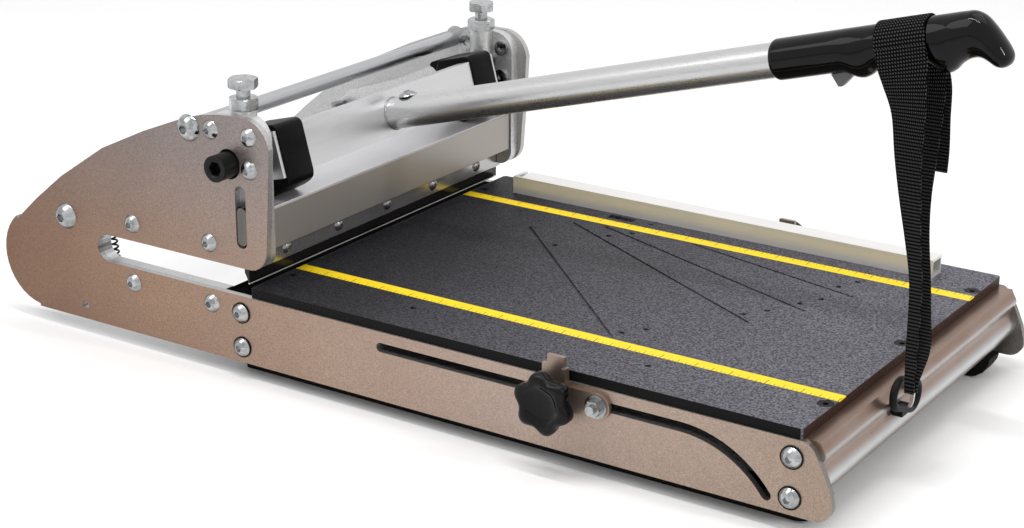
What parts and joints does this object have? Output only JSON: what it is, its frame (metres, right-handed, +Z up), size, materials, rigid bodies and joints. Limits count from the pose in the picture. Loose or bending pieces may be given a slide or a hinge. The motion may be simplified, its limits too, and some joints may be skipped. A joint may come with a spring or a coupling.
{
  "type": "vinyl floor cutter",
  "caption": "Bench cutter for vinyl floor boards: long lever with grip, two cams, sliding guillotine blade, grooved deck with scales, side stops, fence, rubber runners.",
  "frame": {"origin": "on the ground, under the middle of the whole tool with the handle down; 120 mm in front of the cutting line, on the mid-plane between the side plates", "axes": "+X forward from the cutting head to the grip, +Y across the tool to the far side as seen in the picture, +Z up from the ground"},
  "size_m": [0.7292, 0.378, 0.3],
  "materials": {
    "plate_zinc": "brownish grey zinc plating with a fine sparkle, half matt",
    "cast_frame": "sand-cast, blasted, satin",
    "bright_rod": "turned bright bar, satin",
    "bright_zinc": "bright zinc plating, half gloss",
    "rail_alloy": "extruded, mill finish",
    "black_washer": "black nylon",
    "runner_rubber": "black moulded rubber",
    "deck_board": "dark charcoal grained face",
    "ruler_yellow": "printed yellow tape with dark marks",
    "black_screw": "black oxide, slightly shiny",
    "fence_alloy": "extruded, mill finish",
    "pin_steel": "ground steel",
    "black_metal": "black coating, half gloss",
    "block_steel": "machined steel",
    "spring_wire": "dark oiled spring wire",
    "lever_alloy": "satin drawn aluminium",
    "cam_black": "matt black powder coat",
    "grip_black": "glossy black dipped vinyl",
    "grip_lug_grey": "grey moulded nib",
    "webbing": "black woven webbing",
    "hook_steel": "bright pressed steel",
    "carrier_alloy": "extruded, grey face with a pale top",
    "strip_steel": "flat bar, brushed",
    "strip_screw": "dull steel",
    "blade_steel": "dark hardened steel with a ground edge",
    "bracket_zinc": "zinc-plated pressed steel",
    "knob_black": "glossy moulded black plastic"
  },
  "bodies": {
    "frame": {"side_plate_near": "plate_zinc", "side_plate_far": "plate_zinc", "c_frame_near": "cast_frame", "c_frame_far": "cast_frame", "top_tie_rod": "bright_rod", "rear_tie_rod": "bright_rod", "tie_rod_bolts": "bright_zinc", "c_frame_bolts": "bright_zinc", "rear_rail": "rail_alloy", "front_rail": "rail_alloy", "rail_bolts": "bright_zinc", "rail_washers": "black_washer", "runner_near": "runner_rubber", "runner_far": "runner_rubber", "deck": "deck_board", "ruler_near": "ruler_yellow", "ruler_far": "ruler_yellow", "deck_screws": "black_screw", "rail_eye": "black_metal", "pivot_blocks": "block_steel", "pivot_bolts": "black_screw", "pivot_washers": "bright_zinc", "lock_nuts": "bright_zinc", "spring_near": "spring_wire", "spring_far": "spring_wire", "spring_pins": "block_steel"},
    "fence_rail": {"fence": "fence_alloy", "fence_pins": "pin_steel"},
    "lever": {"lever_bar": "lever_alloy", "cam_near": "cam_black", "cam_far": "cam_black", "handle_tube": "lever_alloy", "handle_plug": "lever_alloy", "handle_bolt": "bright_zinc", "grip": "grip_black", "grip_lug": "grip_lug_grey", "strap_loop": "webbing"},
    "strap": {"strap_tail": "webbing", "strap_hook": "hook_steel"},
    "carrier": {"blade_carrier": "carrier_alloy", "clamp_strip": "strip_steel", "clamp_screws": "strip_screw", "blade": "blade_steel", "guide_keys": "block_steel"},
    "side_stop_near": {"stop_near": "bracket_zinc", "stop_bolt_near": "bright_zinc"},
    "star_knob_near": {"knob_near": "knob_black"},
    "side_stop_far": {"stop_far": "bracket_zinc", "stop_bolt_far": "bright_zinc"},
    "star_knob_far": {"knob_far": "knob_black"},
    "hex_adjuster_near": {"adjuster_near": "bright_zinc"},
    "hex_adjuster_far": {"adjuster_far": "bright_zinc"}
  },
  "joints": [
    {"name": "lever_lift", "type": "hinge", "parent": "frame", "child": "lever", "pos_m": [-0.13411, 0, 0.159], "axis": [0, -1, 0], "range_deg": [0, 70]},
    {"name": "carrier_rise", "type": "slide", "parent": "frame", "child": "carrier", "axis": [0, 0, 1], "range_m": [0, 0.01466]},
    {"name": "strap_hang", "type": "hinge", "parent": "lever", "child": "strap", "pos_m": [0.29543, 0, 0.27339], "axis": [0, -1, 0], "range_deg": [-70, 0]},
    {"name": "fence_lift", "type": "slide", "parent": "frame", "child": "fence_rail", "axis": [0, 0, 1], "range_m": [0, 0.012]},
    {"name": "stop_near_slide", "type": "slide", "parent": "frame", "child": "side_stop_near", "axis": [1, 0, 0], "range_m": [-0.14, 0.055]},
    {"name": "stop_far_slide", "type": "slide", "parent": "frame", "child": "side_stop_far", "axis": [1, 0, 0], "range_m": [-0.14, 0.055]},
    {"name": "knob_near_turn", "type": "hinge", "parent": "side_stop_near", "child": "star_knob_near", "pos_m": [0.13989, -0.18, 0.0506], "axis": [0, -1, 0], "range_deg": [-180, 180]},
    {"name": "knob_far_turn", "type": "hinge", "parent": "side_stop_far", "child": "star_knob_far", "pos_m": [0.13989, 0.18, 0.0506], "axis": [0, 1, 0], "range_deg": [-180, 180]},
    {"name": "adjuster_near_turn", "type": "hinge", "parent": "frame", "child": "hex_adjuster_near", "pos_m": [-0.13311, -0.1475, 0.192], "axis": [0, 0, 1], "range_deg": [-180, 180]},
    {"name": "adjuster_far_turn", "type": "hinge", "parent": "frame", "child": "hex_adjuster_far", "pos_m": [-0.13311, 0.1475, 0.192], "axis": [0, 0, 1], "range_deg": [-180, 180]}
  ],
  "couplings": [
    {"joint": "carrier_rise", "follows": "lever_lift", "m_per_rad": 0.012},
    {"joint": "strap_hang", "follows": "lever_lift", "ratio": -1}
  ]
}
